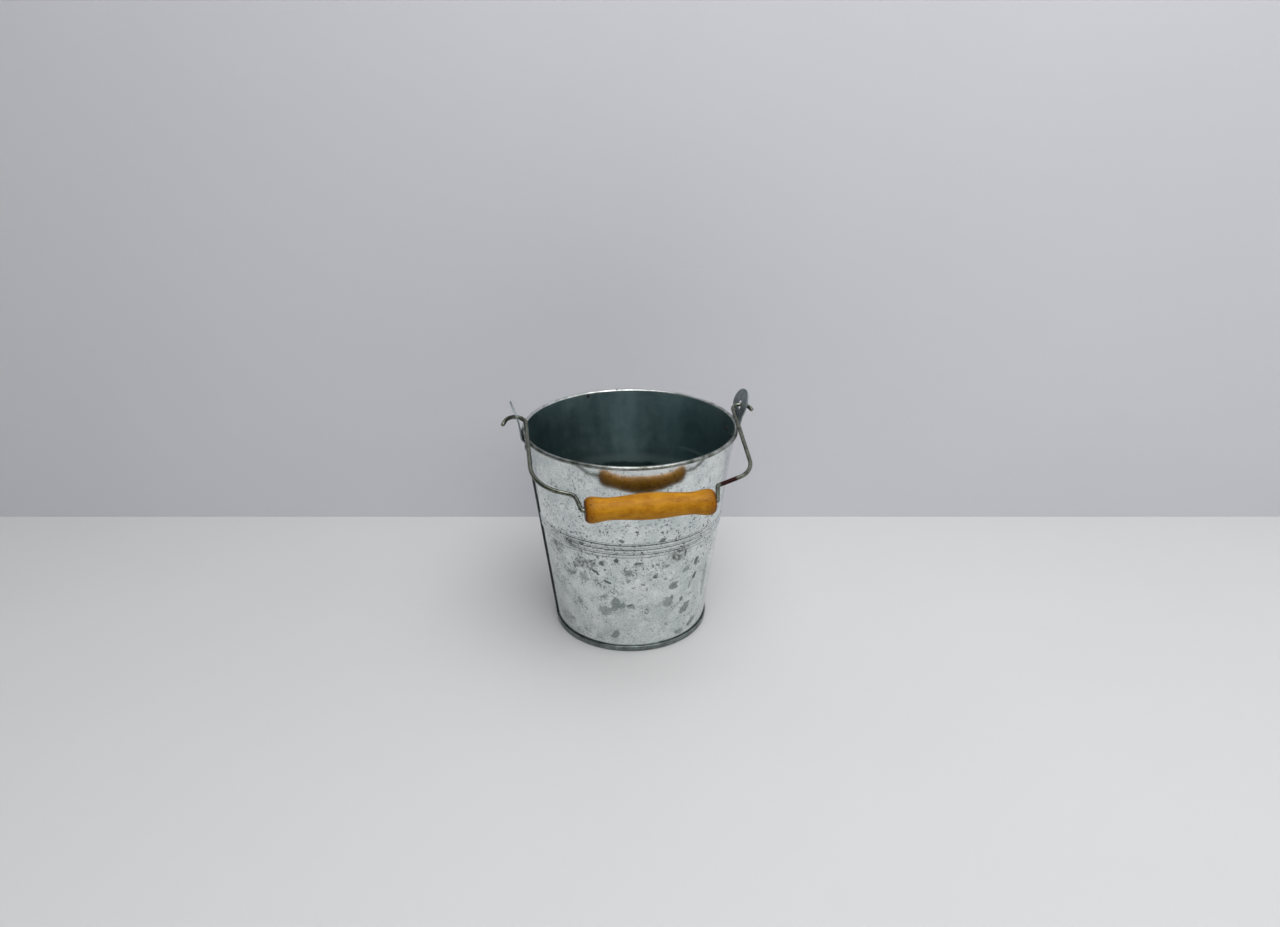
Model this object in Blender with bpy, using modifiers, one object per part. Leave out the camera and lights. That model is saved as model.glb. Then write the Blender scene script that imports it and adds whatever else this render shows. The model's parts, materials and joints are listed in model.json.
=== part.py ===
"""Small galvanised bucket with two sheet ears, a shouldered wire bail and a turned wooden grip."""
import math

import bmesh
import bpy
from mathutils import Matrix, Vector

MM = 0.001

# Clearance kept between neighbouring pieces
GAP = 0.3 * MM

# Bucket body: heights from the floor, radii to the outer face
HEIGHT = 130.0 * MM
RIM_RADIUS = 65.0 * MM
FOOT_RADIUS = 46.7 * MM
SHEET = 0.4 * MM
CURL_RADIUS = 1.2 * MM
CURL_END_ANGLE = math.radians(-115.0)
TURN_STEPS = 48

# Swaged beads round the wall
BEAD_COUNT = 3
BEAD_TOP_HEIGHT = 76.7 * MM
BEAD_PITCH = 3.15 * MM
BEAD_CREST = 0.9 * MM
BEAD_RISE = 0.45 * MM

# Folded lock seam down the left side
SEAM_WIDTH = 5.0 * MM
SEAM_RISE = 1.2 * MM
SEAM_CLEAR = 1.5 * MM

# Knocked-up ring of the base pan
RING_HEIGHT = 3.5 * MM
RING_RISE = 1.2 * MM
RING_ROUND = 0.5 * MM

# Bail ears
EAR_SHEET = 0.8 * MM
EAR_DISC_RADIUS = 9.5 * MM
EAR_LEG_WIDTH = 17.0 * MM
EAR_LEG_DROP = 20.0 * MM
EAR_CORNER = 4.0 * MM
EAR_JOG = 4.0 * MM
EAR_BEND = 4.0 * MM
EAR_LOWER_LEAN = math.radians(9.0)
EAR_UPPER_LEAN = math.radians(20.0)
HINGE_RISE = 8.5 * MM
HOLE_PLAY = 1.5 * MM

# Ear rivets, two to an ear
RIVET_SHANK_RADIUS = 1.2 * MM
RIVET_HEAD_RADIUS = 2.4 * MM
RIVET_HEAD_RISE = 1.0 * MM
RIVET_TAIL_RADIUS = 2.1 * MM
RIVET_TAIL_RISE = 0.6 * MM
RIVET_SPACING = 11.0 * MM
RIVET_DROP = 9.0 * MM

# Bail wire, laid out flat: x along the hinge, reach away from the hinge
WIRE_RADIUS = 1.25 * MM
ARM_INSET = 5.0 * MM
ARM_BEND = 4.0 * MM
HAND_ROOM = 6.3 * MM
CRANK_DEPTH = 11.9 * MM
CRANK_SLANT = 2.4 * MM
CRANK_BEND = 1.8 * MM
RUN_DROP = 8.9 * MM
SHOULDER_BEND = 14.0 * MM
TAIL_STRAIGHT_LEFT = 2.0 * MM
TAIL_STRAIGHT_RIGHT = 0.3 * MM
TAIL_BEND = 5.5 * MM
TAIL_LENGTH_LEFT = 7.0 * MM
TAIL_LENGTH_RIGHT = 6.0 * MM
TAIL_ANGLE = math.radians(65.0)

# Turned wooden grip
GRIP_LENGTH = 71.4 * MM
GRIP_MIDDLE_RADIUS = 7.5 * MM
GRIP_WAIST_RADIUS = 6.2 * MM
GRIP_END_RADIUS = 7.3 * MM
GRIP_BULB = 4.5 * MM
GRIP_WAIST = 13.0 * MM
GRIP_END_PLAY = 0.4 * MM

# Worked out from the sizes above
HALF_TURN = math.pi
CURL_CENTRE = Vector((RIM_RADIUS - CURL_RADIUS, HEIGHT - CURL_RADIUS))
HINGE_HEIGHT = HEIGHT + HINGE_RISE
EAR_FOOT = HEIGHT - EAR_LEG_DROP
HOLE_RADIUS = WIRE_RADIUS + HOLE_PLAY
BAIL_REACH = RIM_RADIUS + GRIP_MIDDLE_RADIUS + HAND_ROOM


def wall_slope():
    """Angle from vertical at which the wall runs up tangent to the rim curl."""
    run = CURL_CENTRE.x - FOOT_RADIUS
    reach = math.hypot(run, CURL_CENTRE.y)
    return math.acos((CURL_RADIUS - SHEET) / reach) - math.atan2(CURL_CENTRE.y, run)


SLOPE = wall_slope()


def wall_radius(z):
    """Outer radius of the plain wall at height z."""
    return FOOT_RADIUS + z * math.tan(SLOPE)


def smooth(t):
    """Ease from 0 to 1 as t goes from 0 to 1."""
    t = min(max(t, 0.0), 1.0)
    return t * t * (3.0 - 2.0 * t)


def arc(centre, radius, start, end, count):
    """Points along an arc of a circle, both ends included."""
    turn = [start + (end - start) * i / count for i in range(count + 1)]
    return [(centre[0] + radius * math.cos(a), centre[1] + radius * math.sin(a)) for a in turn]


def fillet(corners, radii, step=math.radians(15.0)):
    """Open line through the corners, each inner corner rounded with its radius."""
    line = [Vector(corners[0])]
    for before, corner, after, radius in zip(corners, corners[1:], corners[2:], radii):
        corner = Vector(corner)
        back = (Vector(before) - corner).normalized()
        ahead = (Vector(after) - corner).normalized()
        half = back.angle(ahead) / 2.0
        centre = corner + (back + ahead).normalized() * (radius / math.sin(half))
        first = corner + back * (radius / math.tan(half)) - centre
        turn = first.angle_signed(corner + ahead * (radius / math.tan(half)) - centre)
        count = max(2, math.ceil(abs(turn) / step))
        for i in range(count + 1):
            line.append(centre + Matrix.Rotation(-turn * i / count, 2) @ first)
    line.append(Vector(corners[-1]))
    return line


def clear_scene():
    """Remove what the scene holds before modelling."""
    for obj in list(bpy.data.objects):
        bpy.data.objects.remove(obj, do_unlink=True)


def new_collection(name):
    """Collection linked to the scene."""
    collection = bpy.data.collections.new(name)
    bpy.context.scene.collection.children.link(collection)
    return collection


def new_material(name, colour, roughness, metallic):
    """Plain Principled material."""
    material = bpy.data.materials.new(name)
    material.use_nodes = True
    shader = material.node_tree.nodes["Principled BSDF"]
    shader.inputs["Base Color"].default_value = (*colour, 1.0)
    shader.inputs["Roughness"].default_value = roughness
    shader.inputs["Metallic"].default_value = metallic
    return material


clear_scene()
PARTS = new_collection("florist_bucket")
CUTTERS = new_collection("cutters")
GALVANISED = new_material("galvanised_sheet", (0.52, 0.55, 0.55), 0.38, 1.0)
DARK_ZINC = new_material("dark_zinc_sheet", (0.30, 0.32, 0.33), 0.45, 1.0)
STEEL_WIRE = new_material("steel_wire", (0.36, 0.36, 0.33), 0.42, 1.0)
VARNISHED_WOOD = new_material("varnished_wood", (0.60, 0.30, 0.07), 0.38, 0.0)


def add_object(name, data, material, collection):
    """Object for a mesh or curve, in its collection and with its material."""
    obj = bpy.data.objects.new(name, data)
    data.materials.append(material)
    collection.objects.link(obj)
    return obj


def make_cutter(obj):
    """Keep a cutting or joining body out of the finished object."""
    obj.hide_render = True
    obj.display_type = "WIRE"
    return obj


def turned(name, profile, closed, steps, material, collection=PARTS):
    """Solid of revolution about Z from a profile at +X, listed clockwise."""
    count = len(profile)
    edges = [(i, i + 1) for i in range(count - 1)]
    if closed:
        edges.append((count - 1, 0))
    mesh = bpy.data.meshes.new(name)
    mesh.from_pydata([(x, 0.0, z) for x, z in profile], edges, [])
    obj = add_object(name, mesh, material, collection)
    screw = obj.modifiers.new("turn", "SCREW")
    screw.axis = "Z"
    screw.angle = 2.0 * math.pi
    screw.steps = steps
    screw.render_steps = steps
    screw.use_merge_vertices = True
    screw.merge_threshold = 0.00001
    screw.use_smooth_shade = True
    return obj


def add_boolean(obj, other, operation):
    """Boolean modifier on an object."""
    modifier = obj.modifiers.new(other.name, "BOOLEAN")
    modifier.operation = operation
    modifier.solver = "EXACT"
    modifier.object = other


def bead_points():
    """Height and rise of the wall at each corner of the beads, from the bottom up."""
    points = []
    for i in reversed(range(BEAD_COUNT)):
        crest = BEAD_TOP_HEIGHT - i * BEAD_PITCH
        points.append((crest - BEAD_PITCH / 2.0, 0.0))
        points.append((crest - BEAD_CREST / 2.0, BEAD_RISE))
        points.append((crest + BEAD_CREST / 2.0, BEAD_RISE))
    points.append((BEAD_TOP_HEIGHT + BEAD_PITCH / 2.0, 0.0))
    return points


def wall_profile():
    """Section of the sheet: wall, beads and the open curl at the rim."""
    foot = SHEET + GAP
    across = SHEET / math.cos(SLOPE)
    levels = [(foot, 0.0)] + bead_points()
    outer = [(wall_radius(z) + rise, z) for z, rise in levels]
    inner = [(x - across, z) for x, z in outer]
    start = HALF_TURN - SLOPE
    curl_steps = 10
    curl_out = arc(CURL_CENTRE, CURL_RADIUS, start, CURL_END_ANGLE, curl_steps)
    curl_in = arc(CURL_CENTRE, CURL_RADIUS - SHEET, CURL_END_ANGLE, start, curl_steps)
    return inner + curl_out + curl_in + outer[::-1]


def rivet_matrix(side, end):
    """Place of a rivet on the wall: Z out of the wall, origin on its outer face."""
    height = HEIGHT - RIVET_DROP
    radius = wall_radius(height)
    turn = side * end * (RIVET_SPACING / 2.0) / radius
    if side < 0:
        turn += HALF_TURN
    out = Matrix.Rotation(turn, 4, "Z") @ Matrix.Translation((radius, 0.0, height))
    return out @ Matrix.Rotation(math.pi / 2.0 + SLOPE, 4, "Y")


def seam_strip():
    """Folded seam lying on the left side of the wall, from the base ring to the ear."""
    bottom = RING_HEIGHT + GAP
    top = EAR_FOOT - SEAM_CLEAR
    middle = (bottom + top) / 2.0
    sunk = SHEET / 2.0
    bpy.ops.mesh.primitive_cube_add(size=1.0)
    strip = bpy.context.object
    strip.name = "lock_seam"
    size = (SEAM_RISE + sunk, SEAM_WIDTH, (top - bottom) / math.cos(SLOPE))
    strip.data.transform(Matrix.Diagonal((*size, 1.0)))
    out = Vector((-math.cos(SLOPE), 0.0, -math.sin(SLOPE)))
    strip.location = Vector((-wall_radius(middle), 0.0, middle)) + out * ((SEAM_RISE - sunk) / 2.0)
    strip.rotation_euler = (0.0, -SLOPE, 0.0)
    for collection in list(strip.users_collection):
        collection.objects.unlink(strip)
    CUTTERS.objects.link(strip)
    return make_cutter(strip)


def rivet_hole(side, end):
    """Body that bores the wall for one rivet."""
    length = EAR_SHEET * 4.0
    bpy.ops.mesh.primitive_cylinder_add(vertices=16, radius=RIVET_SHANK_RADIUS + GAP, depth=length)
    hole = bpy.context.object
    hole.name = f"rivet_hole_{side}_{end}"
    hole.matrix_world = rivet_matrix(side, end)
    for collection in list(hole.users_collection):
        collection.objects.unlink(hole)
    CUTTERS.objects.link(hole)
    return make_cutter(hole)


def build_body_wall():
    """Tapered wall with its beads, rim curl, side seam and rivet holes."""
    wall = turned("body_wall", wall_profile(), True, TURN_STEPS, GALVANISED)
    add_boolean(wall, seam_strip(), "UNION")
    for side in (-1, 1):
        for end in (-1, 1):
            add_boolean(wall, rivet_hole(side, end), "DIFFERENCE")


def build_rim_wire():
    """Stiffening wire that the rim is curled round."""
    bpy.ops.mesh.primitive_torus_add(
        major_radius=CURL_CENTRE.x,
        minor_radius=CURL_RADIUS - SHEET - GAP,
        major_segments=TURN_STEPS,
        minor_segments=8,
        location=(0.0, 0.0, CURL_CENTRE.y),
    )
    wire = bpy.context.object
    wire.name = "rim_wire"
    wire.data.materials.append(STEEL_WIRE)
    wire.data.shade_smooth()
    for collection in list(wire.users_collection):
        collection.objects.unlink(wire)
    PARTS.objects.link(wire)


def build_base_pan():
    """Flat bottom whose edge is folded up round the foot of the wall."""
    ring_in = wall_radius(RING_HEIGHT) + GAP
    ring_out = wall_radius(RING_HEIGHT) + RING_RISE
    foot_in = wall_radius(SHEET) + GAP
    foot_out = wall_radius(0.0) + RING_RISE
    lip = RING_ROUND / 2.0
    profile = [(0.0, SHEET), (foot_in, SHEET), (ring_in, RING_HEIGHT - lip)]
    profile += [(ring_in + lip, RING_HEIGHT), (ring_out - lip, RING_HEIGHT)]
    profile.append((ring_out, RING_HEIGHT - lip))
    profile += arc((foot_out - RING_ROUND, RING_ROUND), RING_ROUND, 0.0, -math.pi / 2.0, 3)
    profile.append((0.0, 0.0))
    turned("base_pan", profile, False, TURN_STEPS, DARK_ZINC)


def ear_reach(z):
    """Distance of the ear's middle surface from the bucket's axis, on its centre line."""
    leg = wall_radius(z) + (GAP + EAR_SHEET / 2.0) / math.cos(SLOPE)
    off_curl = (CURL_RADIUS + GAP + EAR_SHEET / 2.0) / math.cos(EAR_LOWER_LEAN)
    plate = CURL_CENTRE.x + off_curl + (z - CURL_CENTRE.y) * math.tan(EAR_LOWER_LEAN)
    above = z - HINGE_HEIGHT
    if above > -EAR_BEND:
        kink = math.tan(EAR_UPPER_LEAN) - math.tan(EAR_LOWER_LEAN)
        plate += kink * (above if above > EAR_BEND else (above + EAR_BEND) ** 2 / (4.0 * EAR_BEND))
    return leg + (plate - leg) * ear_flatness(z)


def ear_flatness(z):
    """0 where the leg hugs the wall, 1 where the ear stands flat past the rim."""
    jog_top = CURL_CENTRE.y - CURL_RADIUS
    return smooth((z - jog_top + EAR_JOG) / EAR_JOG)


def ear_surface(side, y, z):
    """Point of the ear's middle surface seen from the side at y, z."""
    reach = ear_reach(z)
    hug = reach - math.sqrt(reach * reach - y * y)
    return (side * (reach - hug * (1.0 - ear_flatness(z))), y, z)


def ear_outline():
    """Outline of an ear seen from the side: round top on a straight leg."""
    half = EAR_LEG_WIDTH / 2.0
    corner = EAR_FOOT + EAR_CORNER
    neck = math.asin(half / EAR_DISC_RADIUS)
    start = neck - math.pi / 2.0
    line = arc((half - EAR_CORNER, corner), EAR_CORNER, -math.pi / 2.0, 0.0, 4)
    line += arc((0.0, HINGE_HEIGHT), EAR_DISC_RADIUS, start, math.pi - start, 22)
    line += arc((EAR_CORNER - half, corner), EAR_CORNER, math.pi, 1.5 * math.pi, 4)
    return line


def ring(centre, radius, count):
    """Closed ring of points round a hole."""
    return arc(centre, radius, 0.0, 2.0 * math.pi, count)[:-1]


def flat_sheet(outlines):
    """Flat mesh filled between an outline and its holes."""
    curve = bpy.data.curves.new("outline", "CURVE")
    curve.dimensions = "2D"
    curve.fill_mode = "BOTH"
    for line in outlines:
        spline = curve.splines.new("POLY")
        spline.points.add(len(line) - 1)
        for point, (x, y) in zip(spline.points, line):
            point.co = (x, y, 0.0, 1.0)
        spline.use_cyclic_u = True
    holder = bpy.data.objects.new("outline", curve)
    CUTTERS.objects.link(holder)
    depsgraph = bpy.context.evaluated_depsgraph_get()
    mesh = bpy.data.meshes.new_from_object(holder.evaluated_get(depsgraph))
    bpy.data.objects.remove(holder, do_unlink=True)
    return mesh


def score(bm, axis, low, high, count):
    """Divide a flat mesh by evenly spaced lines so that it can be bent."""
    for i in range(1, count):
        place = low + (high - low) * i / count
        normal = Vector((1.0, 0.0, 0.0)) if axis == 0 else Vector((0.0, 1.0, 0.0))
        geometry = bm.verts[:] + bm.edges[:] + bm.faces[:]
        bmesh.ops.bisect_plane(bm, geom=geometry, dist=0.000001, plane_co=normal * place, plane_no=normal)


def build_ear(name, side):
    """Stamped ear: leg bent to the wall, disc standing over the rim with the bail hole."""
    rivet_height = HEIGHT - RIVET_DROP
    outlines = [ear_outline(), ring((0.0, HINGE_HEIGHT), HOLE_RADIUS, 20)]
    for end in (-1, 1):
        place = rivet_matrix(side, end).translation
        outlines.append(ring((place.y, rivet_height), RIVET_SHANK_RADIUS + GAP, 12))
    mesh = flat_sheet(outlines)
    bm = bmesh.new()
    bm.from_mesh(mesh)
    bmesh.ops.remove_doubles(bm, verts=bm.verts, dist=0.000001)
    score(bm, 0, -EAR_DISC_RADIUS, EAR_DISC_RADIUS, 6)
    score(bm, 1, EAR_FOOT, HINGE_HEIGHT + EAR_DISC_RADIUS, 15)
    for vertex in bm.verts:
        vertex.co = ear_surface(side, vertex.co.x, vertex.co.y)
    bm.to_mesh(mesh)
    bm.free()
    mesh.name = name
    ear = add_object(name, mesh, GALVANISED, PARTS)
    mesh.shade_smooth()
    solidify = ear.modifiers.new("sheet", "SOLIDIFY")
    solidify.thickness = EAR_SHEET
    solidify.offset = 0.0


def build_rivet(name, side, end):
    """Rivet through an ear's leg and the wall, domed outside and flattened inside."""
    head = GAP + EAR_SHEET + GAP
    tail = -SHEET - GAP
    dome = arc((0.0, 0.0), 1.0, math.pi / 2.0, 0.0, 4)
    profile = [(RIVET_HEAD_RADIUS * x, head + RIVET_HEAD_RISE * z) for x, z in dome]
    profile += [(RIVET_SHANK_RADIUS, head), (RIVET_SHANK_RADIUS, tail)]
    profile += [(RIVET_TAIL_RADIUS, tail), (RIVET_TAIL_RADIUS, tail - RIVET_TAIL_RISE)]
    profile.append((0.0, tail - RIVET_TAIL_RISE))
    profile[0] = (0.0, head + RIVET_HEAD_RISE)
    rivet = turned(name, profile, False, 16, DARK_ZINC)
    rivet.matrix_world = rivet_matrix(side, end)


def bail_half(tail_straight, tail_length):
    """One half of the bail laid flat, from the middle of the grip out to the tail."""
    arm = ear_reach(HINGE_HEIGHT) - ARM_INSET
    crank = GRIP_LENGTH / 2.0 + GRIP_END_PLAY + CRANK_BEND * math.tan(math.pi / 5.0)
    run = BAIL_REACH - CRANK_DEPTH
    tail = ear_reach(HINGE_HEIGHT) + tail_straight + TAIL_BEND * math.tan(TAIL_ANGLE / 2.0)
    corners = [(0.0, BAIL_REACH), (crank, BAIL_REACH), (crank + CRANK_SLANT, run)]
    corners += [(arm, run - RUN_DROP), (arm, 0.0), (tail, 0.0)]
    tip = (tail + tail_length * math.cos(TAIL_ANGLE), tail_length * math.sin(TAIL_ANGLE))
    radii = [CRANK_BEND, CRANK_BEND, SHOULDER_BEND, ARM_BEND, TAIL_BEND]
    return fillet(corners + [tip], radii)


def rest_droop(half):
    """Angle below horizontal at which the bail's arms come to lie on the rim."""
    touch = CURL_RADIUS + WIRE_RADIUS + GAP
    samples = []
    for a, b in zip(half, half[1:]):
        samples += [a.lerp(b, i / 24.0) for i in range(24)]

    def distance(droop):
        near = []
        for x, reach in samples:
            across = math.hypot(x, reach * math.cos(droop)) - CURL_CENTRE.x
            near.append(math.hypot(across, HINGE_HEIGHT - reach * math.sin(droop) - CURL_CENTRE.y))
        return min(near)

    low, high = 0.0, math.pi / 3.0
    for _ in range(40):
        middle = (low + high) / 2.0
        if distance(middle) > touch:
            low = middle
        else:
            high = middle
    return low


def build_bail():
    """Bail wire and its grip, both on an empty at the hinge."""
    left = bail_half(TAIL_STRAIGHT_LEFT, TAIL_LENGTH_LEFT)
    right = bail_half(TAIL_STRAIGHT_RIGHT, TAIL_LENGTH_RIGHT)
    droop = rest_droop(right)
    pivot = bpy.data.objects.new("bail_pivot", None)
    pivot.location = (0.0, 0.0, HINGE_HEIGHT)
    pivot.rotation_euler = (droop, 0.0, 0.0)
    PARTS.objects.link(pivot)

    line = [(-x, reach) for x, reach in left[:0:-1]] + [(x, reach) for x, reach in right[1:]]
    curve = bpy.data.curves.new("bail_wire", "CURVE")
    curve.dimensions = "3D"
    curve.bevel_depth = WIRE_RADIUS
    curve.bevel_resolution = 2
    curve.use_fill_caps = True
    spline = curve.splines.new("POLY")
    spline.points.add(len(line) - 1)
    for point, (x, reach) in zip(spline.points, line):
        point.co = (x, -reach, 0.0, 1.0)
    bail = add_object("bail_wire", curve, STEEL_WIRE, PARTS)
    bail.parent = pivot

    grip = turned("grip", grip_profile(), True, 24, VARNISHED_WOOD)
    grip.parent = pivot
    grip.location = (0.0, -BAIL_REACH, 0.0)
    grip.rotation_euler = (0.0, math.pi / 2.0, 0.0)
    axis = (-BAIL_REACH * math.cos(droop), HINGE_HEIGHT - BAIL_REACH * math.sin(droop))
    print(f"bail droop {math.degrees(droop):.3f} deg, hinge z {HINGE_HEIGHT:.5f}")
    print(f"grip axis y {axis[0]:.5f}, z {axis[1]:.5f}, hole x {ear_reach(HINGE_HEIGHT):.5f}")


def grip_radius(from_end):
    """Outer radius of the grip at a distance from its end."""
    if from_end < GRIP_BULB:
        shoulder = 1.0 - from_end / GRIP_BULB
        return GRIP_END_RADIUS * math.sqrt(1.0 - 0.5 * shoulder * shoulder)
    if from_end < GRIP_WAIST:
        t = smooth((from_end - GRIP_BULB) / (GRIP_WAIST - GRIP_BULB))
        return GRIP_END_RADIUS + (GRIP_WAIST_RADIUS - GRIP_END_RADIUS) * t
    t = smooth((from_end - GRIP_WAIST) / (GRIP_LENGTH / 2.0 - GRIP_WAIST))
    return GRIP_WAIST_RADIUS + (GRIP_MIDDLE_RADIUS - GRIP_WAIST_RADIUS) * t


def grip_profile():
    """Section of the grip on one side of its bore."""
    half = GRIP_LENGTH / 2.0
    count = 26
    bore = WIRE_RADIUS + GAP
    outer = []
    for i in range(count + 1):
        place = half * math.cos(math.pi * i / count)
        outer.append((grip_radius(half - abs(place)), place))
    return outer + [(bore, -half), (bore, half)]


build_body_wall()
build_rim_wire()
build_base_pan()
for ear_name, ear_side in (("left", -1), ("right", 1)):
    build_ear(f"ear_{ear_name}", ear_side)
    for rivet_name, rivet_end in (("front", -1), ("rear", 1)):
        build_rivet(f"ear_rivet_{ear_name}_{rivet_name}", ear_side, rivet_end)
build_bail()
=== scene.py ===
import json
import math
from functools import partial

import bpy
from mathutils import Matrix, Vector


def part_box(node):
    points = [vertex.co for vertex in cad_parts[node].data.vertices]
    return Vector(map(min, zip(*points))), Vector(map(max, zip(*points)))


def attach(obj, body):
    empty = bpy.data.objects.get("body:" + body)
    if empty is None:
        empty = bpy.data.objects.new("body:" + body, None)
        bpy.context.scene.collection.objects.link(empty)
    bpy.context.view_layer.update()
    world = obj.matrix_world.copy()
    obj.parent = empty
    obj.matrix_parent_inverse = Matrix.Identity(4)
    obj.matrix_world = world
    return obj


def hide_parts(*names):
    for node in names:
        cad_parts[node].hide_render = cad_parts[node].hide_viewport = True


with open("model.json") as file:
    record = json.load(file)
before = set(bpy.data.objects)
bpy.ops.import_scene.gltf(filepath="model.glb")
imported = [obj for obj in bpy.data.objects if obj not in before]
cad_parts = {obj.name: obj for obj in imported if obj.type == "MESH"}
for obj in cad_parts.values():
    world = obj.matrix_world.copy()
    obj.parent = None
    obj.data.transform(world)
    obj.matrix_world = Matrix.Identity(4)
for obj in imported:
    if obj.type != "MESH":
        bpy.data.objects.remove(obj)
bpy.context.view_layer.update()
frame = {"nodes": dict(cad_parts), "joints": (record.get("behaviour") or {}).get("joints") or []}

mm = 0.001

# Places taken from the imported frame
joints = {joint["name"]: joint for joint in frame["joints"]}
hingeHeight = joints["bail_hinge"]["pos_m"][2]
gripCentre = Vector(joints["grip_spin"]["pos_m"])
gripArm = gripCentre - Vector((0, 0, hingeHeight))
bailReach = gripArm.length                              # hinge to grip axis
bailDroop = math.atan2(-gripArm.z, -gripArm.y)          # below level, lying on the rim
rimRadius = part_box("body_wall")[1].x
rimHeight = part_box("body_wall")[1].z
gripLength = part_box("grip")[1].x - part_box("grip")[0].x
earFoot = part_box("ear_right")[0].z


# Small helpers

weld = 0.001 * mm                                  # points nearer than this are merged
smooth = {"interpolation_type": "SMOOTHSTEP"}      # for a Map Range with eased ends
rgba = {"data_type": "RGBA"}                       # for a Mix of colours


def toLinear(hexCode):
    values = [int(hexCode[i:i + 2], 16) / 255 for i in (1, 3, 5)]
    return [v / 12.92 if v <= 0.04045 else ((v + 0.055) / 1.055) ** 2.4 for v in values] + [1.0]


def setInputs(node, links):
    # links: input name or number -> a value, a node, or (node, output name);
    # From and To stand for their Min and Max
    for key, value in links.items():
        if key in ("From", "To"):
            setInputs(node, {key + " Min": value[0], key + " Max": value[1]})
            continue
        named = [s for s in node.inputs if s.name == key and s.enabled]
        socket = named[0] if named else node.inputs[key]
        if isinstance(value, tuple) and isinstance(value[0], bpy.types.Node):
            value = value[0].outputs[value[1]]
        elif isinstance(value, bpy.types.Node):
            value = [s for s in value.outputs if s.enabled][0]
        if isinstance(value, bpy.types.NodeSocket):
            node.id_data.links.new(value, socket)
        else:
            socket.default_value = value


def addNode(tree, kind, links=None, operation=None, **settings):
    node = tree.nodes.new("ShaderNode" + kind)
    if operation:
        node.operation = operation
    for key, value in settings.items():
        setattr(node, key, value)
    setInputs(node, links or {})
    return node


def newMaterial(name):
    # Material, addNode for its tree, its shader, and Object coordinates in millimetres
    material = bpy.data.materials.new(name)
    material.use_nodes = True
    tree = material.node_tree
    add = partial(addNode, tree)
    coords = add("TexCoord")
    place = add("Mapping", {"Vector": (coords, "Object"), "Scale": (1 / mm, 1 / mm, 1 / mm)})
    return material, add, tree.nodes["Principled BSDF"], place


def newObject(name, data):
    thing = bpy.data.objects.new(name, data)
    bpy.context.scene.collection.objects.link(thing)
    return thing


def deselectAll():
    if bpy.context.object and bpy.context.object.mode != "OBJECT":
        bpy.ops.object.mode_set(mode="OBJECT")
    bpy.ops.object.select_all(action="DESELECT")


def makeActive(piece):
    deselectAll()
    piece.select_set(True)
    bpy.context.view_layer.objects.active = piece


def applyModifiers(piece):
    makeActive(piece)
    for modifier in list(piece.modifiers):
        bpy.ops.object.modifier_apply(modifier=modifier.name)


def settle(piece, matrix):
    # Put the piece in its place, in its mesh
    makeActive(piece)
    piece.matrix_world = matrix
    bpy.ops.object.transform_apply(location=True, rotation=True, scale=True)


def startPoint(name, place):
    # One vertex to extrude from, left in edit mode
    deselectAll()
    bpy.ops.mesh.primitive_plane_add(size=mm, location=(0, 0, 0))
    piece = bpy.context.object
    piece.name = name
    bpy.ops.object.mode_set(mode="EDIT")
    bpy.ops.mesh.merge(type="CENTER")
    bpy.ops.transform.translate(value=place)
    return piece


def drawLine(points):
    for before, after in zip(points, points[1:]):
        step = tuple(b - a for a, b in zip(before, after))
        bpy.ops.mesh.extrude_vertices_move(TRANSFORM_OT_translate={"value": step})
    bpy.ops.mesh.select_all(action="SELECT")


def closeMesh(gap=weld):
    # Merge doubles, turn the faces outwards and leave edit mode
    bpy.ops.mesh.select_all(action="SELECT")
    bpy.ops.mesh.remove_doubles(threshold=gap)
    bpy.ops.mesh.normals_make_consistent(inside=False)
    bpy.ops.object.mode_set(mode="OBJECT")


def turnedPiece(name, profile, steps, closed=True):
    # Profile of (radius, height) spun about Z
    points = [(r, 0, z) for r, z in profile]
    piece = startPoint(name, points[0])
    drawLine(points + points[:1] if closed else points)
    bpy.ops.mesh.spin(steps=steps, angle=2 * math.pi, center=(0, 0, 0), axis=(0, 0, 1))
    closeMesh(5 * weld)
    bpy.ops.object.shade_smooth_by_angle(angle=math.radians(40))
    return piece


def curvePiece(name, paths, closed, **settings):
    # Lines through the points, made a mesh and left in edit mode
    curve = bpy.data.curves.new(name, "CURVE")
    for key, value in settings.items():
        setattr(curve, key, value)
    for path in paths:
        spline = curve.splines.new("POLY")
        spline.points.add(len(path) - 1)
        spline.use_cyclic_u = closed
        for point, place in zip(spline.points, path):
            point.co = (*place, 1)
    makeActive(newObject(name, curve))
    bpy.ops.object.convert(target="MESH")
    bpy.ops.object.mode_set(mode="EDIT")
    return bpy.context.object


def bevelEdges(piece, width, angle):
    # Rounds the edges that are sharper than the angle, in degrees
    edge = piece.modifiers.new("edge", "BEVEL")
    edge.width = width
    edge.segments = 2
    edge.limit_method = "ANGLE"
    edge.angle_limit = math.radians(angle)


def arc(centre, radius, start, end, count):
    turns = [start + (end - start) * i / count for i in range(count + 1)]
    return [(centre[0] + radius * math.cos(a), centre[1] + radius * math.sin(a)) for a in turns]


def ease(t):
    t = min(max(t, 0.0), 1.0)
    return t * t * (3 - 2 * t)


def dress(piece, body, slot, materials, *nodes):
    # Materials, body, slot (not used), and the CAD nodes that the piece stands for
    piece.data.materials.clear()
    for material in materials:
        piece.data.materials.append(material)
    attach(piece, body)
    if nodes:
        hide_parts(*nodes)


# Camera, matched to the rim, wall and base in the photograph

cameraSettings = {
    "place": (-0.0809, -0.5476, 0.3456),    # m, in the bucket's frame
    "down": 23.58,                          # degrees below level
    "heading": 9.02,                        # degrees clockwise from +Y
    "lens": 27.75,                          # mm
    "sensor": 36,                           # mm wide
}
heading = math.radians(cameraSettings["heading"])


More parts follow.
